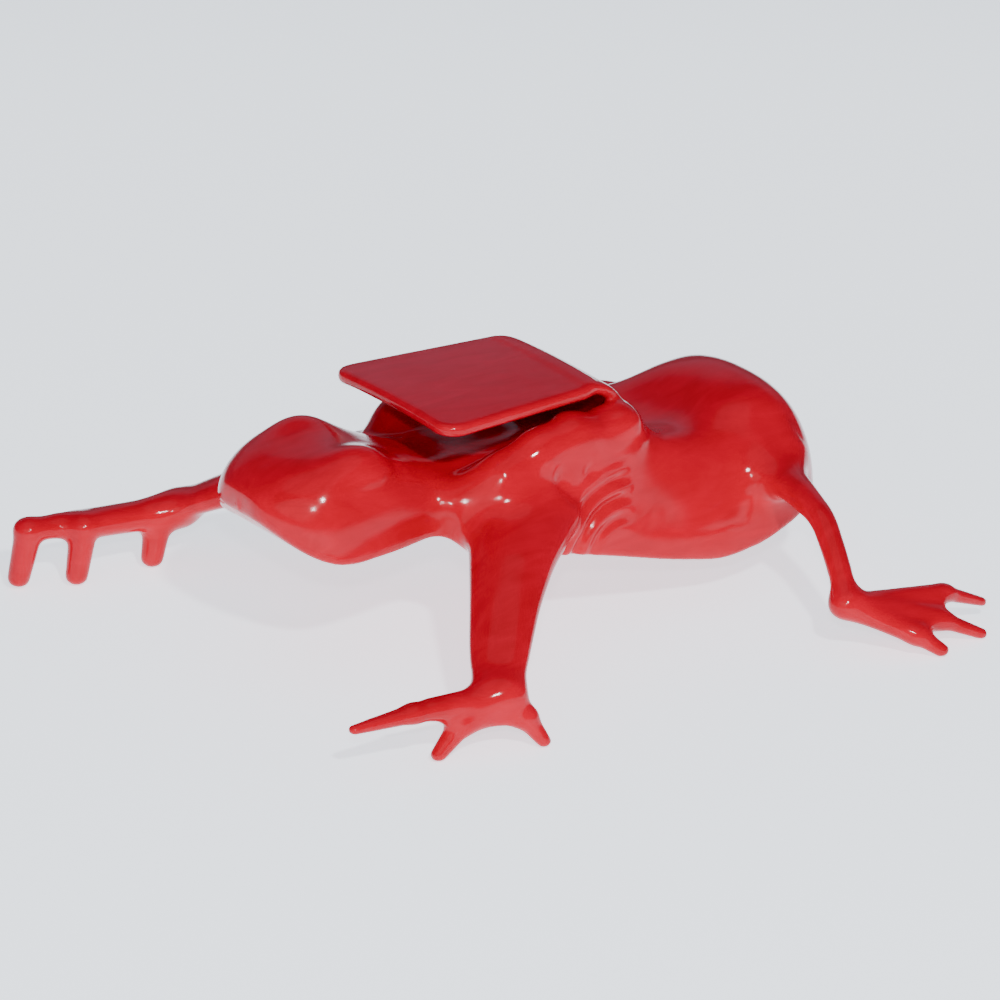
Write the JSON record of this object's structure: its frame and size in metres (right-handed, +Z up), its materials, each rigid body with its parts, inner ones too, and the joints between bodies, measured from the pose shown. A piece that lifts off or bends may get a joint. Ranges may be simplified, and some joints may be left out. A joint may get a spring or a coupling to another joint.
{
  "type": "press-and-jump frog toy",
  "caption": "Glossy plastic frog with a hollow open-bottomed body, a press tongue over its back, and four thin flexing legs with three-toed webbed feet.",
  "frame": {"origin": "on the table under the middle of the frog, at the middle of its outline seen from above", "axes": "+X towards the head, +Y to the frog's left, +Z up"},
  "size_m": [0.0554, 0.0518, 0.0188],
  "materials": {
    "moulding": "glossy self-coloured red polyethylene"
  },
  "bodies": {
    "body": {"torso_shell": "moulding", "head_shell": "moulding", "paddle_root": "moulding"},
    "paddle": {"press_paddle": "moulding"},
    "front_left_leg": {"front_left_leg": "moulding"},
    "front_left_foot": {"front_left_foot": "moulding"},
    "front_right_leg": {"front_right_leg": "moulding"},
    "front_right_foot": {"front_right_foot": "moulding"},
    "hind_left_leg": {"hind_left_leg": "moulding"},
    "hind_left_foot": {"hind_left_foot": "moulding"},
    "hind_right_leg": {"hind_right_leg": "moulding"},
    "hind_right_foot": {"hind_right_foot": "moulding"}
  },
  "joints": [
    {"name": "paddle_flex", "type": "hinge", "parent": "body", "child": "paddle", "pos_m": [-0.004, 0, 0.0182], "axis": [0, 1, 0], "range_deg": [-12, 10], "stiffness_Nm_per_rad": 0.05},
    {"name": "front_left_leg_flex", "type": "hinge", "parent": "body", "child": "front_left_leg", "pos_m": [0.00664, 0.01124, 0.00937], "axis": [0.7752, -0.6317, 0], "range_deg": [-8, 10], "stiffness_Nm_per_rad": 0.15},
    {"name": "front_left_foot_flex", "type": "hinge", "parent": "front_left_leg", "child": "front_left_foot", "pos_m": [0.01346, 0.01961, 0.00515], "axis": [0.7752, -0.6317, 0], "range_deg": [-10, 10], "stiffness_Nm_per_rad": 0.05},
    {"name": "front_right_leg_flex", "type": "hinge", "parent": "body", "child": "front_right_leg", "pos_m": [0.00664, -0.01124, 0.00937], "axis": [-0.7752, -0.6317, 0], "range_deg": [-8, 10], "stiffness_Nm_per_rad": 0.15},
    {"name": "front_right_foot_flex", "type": "hinge", "parent": "front_right_leg", "child": "front_right_foot", "pos_m": [0.01346, -0.01961, 0.00515], "axis": [-0.7752, -0.6317, 0], "range_deg": [-10, 10], "stiffness_Nm_per_rad": 0.05},
    {"name": "hind_left_leg_flex", "type": "hinge", "parent": "body", "child": "hind_left_leg", "pos_m": [-0.01847, 0.01124, 0.00899], "axis": [0.9528, -0.3035, 0], "range_deg": [-8, 10], "stiffness_Nm_per_rad": 0.15},
    {"name": "hind_left_foot_flex", "type": "hinge", "parent": "hind_left_leg", "child": "hind_left_foot", "pos_m": [-0.0158, 0.01961, 0.00508], "axis": [0.9528, -0.3035, 0], "range_deg": [-10, 10], "stiffness_Nm_per_rad": 0.05},
    {"name": "hind_right_leg_flex", "type": "hinge", "parent": "body", "child": "hind_right_leg", "pos_m": [-0.01847, -0.01124, 0.00899], "axis": [-0.9528, -0.3035, 0], "range_deg": [-8, 10], "stiffness_Nm_per_rad": 0.15},
    {"name": "hind_right_foot_flex", "type": "hinge", "parent": "hind_right_leg", "child": "hind_right_foot", "pos_m": [-0.0158, -0.01961, 0.00508], "axis": [-0.9528, -0.3035, 0], "range_deg": [-10, 10], "stiffness_Nm_per_rad": 0.05}
  ]
}
